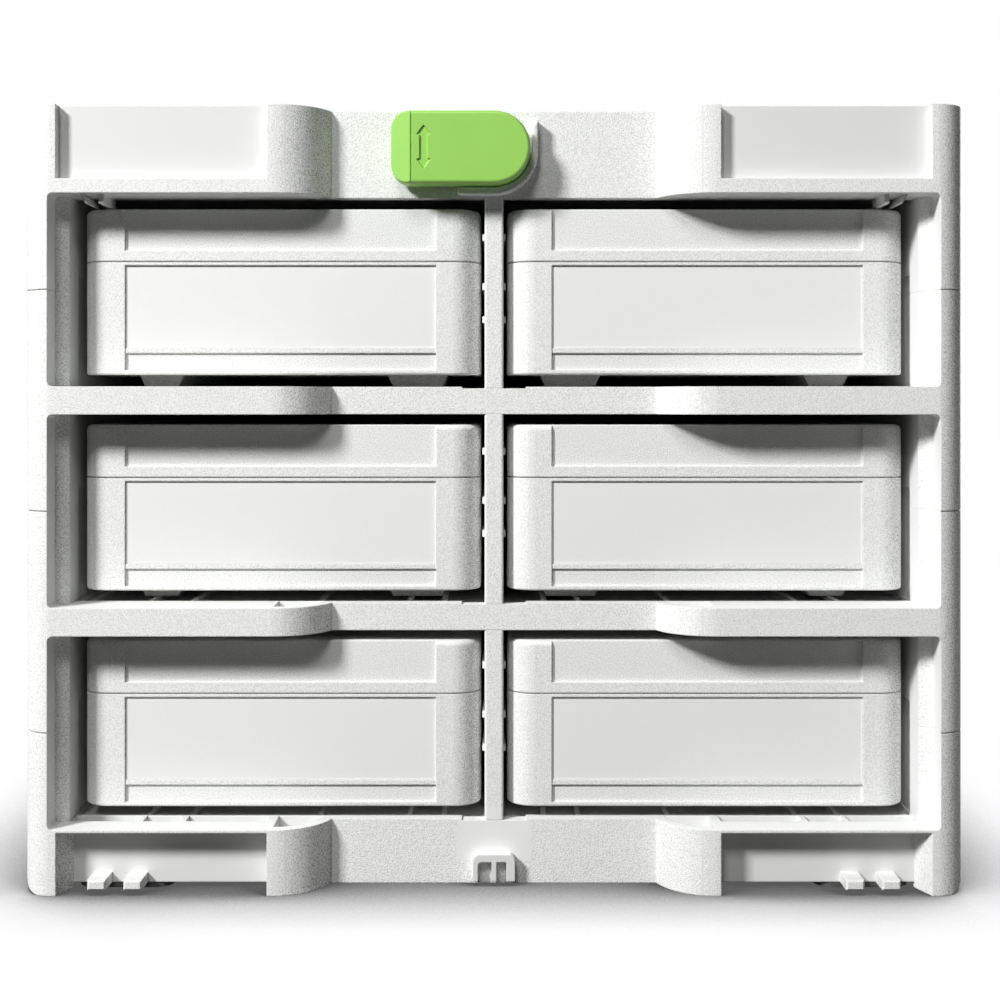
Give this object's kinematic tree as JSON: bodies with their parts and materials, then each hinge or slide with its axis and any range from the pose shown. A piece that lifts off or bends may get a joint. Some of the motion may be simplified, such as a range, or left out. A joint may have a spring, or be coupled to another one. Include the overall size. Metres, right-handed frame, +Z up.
{
  "type": "router bit drawer box",
  "caption": "Stackable moulded rack with a turning latch and a fold-down handle, holding rows of lidded boxes that slide out like drawers.",
  "frame": {"origin": "on the ground under the middle of the rack", "axes": "+Z up, the open front with the boxes faces -Y"},
  "size_m": [0.404, 0.296, 0.337],
  "materials": {
    "housing": "fine spark-eroded grain",
    "box": "fine spark-eroded grain",
    "card": "smooth card",
    "insert": "satin",
    "latch": "satin",
    "washer": "satin",
    "steel": "zinc plated",
    "rubber": "soft matte"
  },
  "bodies": {
    "rack": {"base_moulding": "housing", "lower_shelf_moulding": "housing", "upper_shelf_moulding": "housing", "top_moulding": "housing", "top_cover": "housing", "back_panel": "housing", "back_panel_screws": "steel", "foot_pads": "rubber", "lower_divider": "housing", "middle_divider": "housing", "upper_divider": "housing", "handle_pins": "steel", "latch_washer": "washer"},
    "latch": {"latch_lever": "latch", "latch_pin": "latch"},
    "handle": {"carry_handle": "housing"},
    "lower_left_box": {"lower_left_tub": "box", "lower_left_lid": "box", "lower_left_hinge_pin": "steel", "lower_left_label_card": "card", "lower_left_bit_insert": "insert"},
    "lower_right_box": {"lower_right_tub": "box", "lower_right_lid": "box", "lower_right_hinge_pin": "steel", "lower_right_label_card": "card", "lower_right_bit_insert": "insert"},
    "middle_left_box": {"middle_left_tub": "box", "middle_left_lid": "box", "middle_left_hinge_pin": "steel", "middle_left_label_card": "card", "middle_left_bit_insert": "insert"},
    "middle_right_box": {"middle_right_tub": "box", "middle_right_lid": "box", "middle_right_hinge_pin": "steel", "middle_right_label_card": "card", "middle_right_bit_insert": "insert"},
    "upper_left_box": {"upper_left_tub": "box", "upper_left_lid": "box", "upper_left_hinge_pin": "steel", "upper_left_label_card": "card", "upper_left_bit_insert": "insert"},
    "upper_right_box": {"upper_right_tub": "box", "upper_right_lid": "box", "upper_right_hinge_pin": "steel", "upper_right_label_card": "card", "upper_right_bit_insert": "insert"}
  },
  "joints": [
    {"name": "latch_turn", "type": "hinge", "parent": "rack", "child": "latch", "pos_m": [0, -0.1355, 0.3192], "axis": [0, 1, 0], "range_deg": [0, 90]},
    {"name": "handle_fold", "type": "hinge", "parent": "rack", "child": "handle", "pos_m": [0, 0, 0.3287], "axis": [-1, 0, 0], "range_deg": [0, 90]},
    {"name": "lower_left_slide", "type": "slide", "parent": "rack", "child": "lower_left_box", "axis": [0, -1, 0], "range_m": [0, 0.27]},
    {"name": "lower_right_slide", "type": "slide", "parent": "rack", "child": "lower_right_box", "axis": [0, -1, 0], "range_m": [0, 0.27]},
    {"name": "middle_left_slide", "type": "slide", "parent": "rack", "child": "middle_left_box", "axis": [0, -1, 0], "range_m": [0, 0.27]},
    {"name": "middle_right_slide", "type": "slide", "parent": "rack", "child": "middle_right_box", "axis": [0, -1, 0], "range_m": [0, 0.27]},
    {"name": "upper_left_slide", "type": "slide", "parent": "rack", "child": "upper_left_box", "axis": [0, -1, 0], "range_m": [0, 0.27]},
    {"name": "upper_right_slide", "type": "slide", "parent": "rack", "child": "upper_right_box", "axis": [0, -1, 0], "range_m": [0, 0.27]}
  ]
}
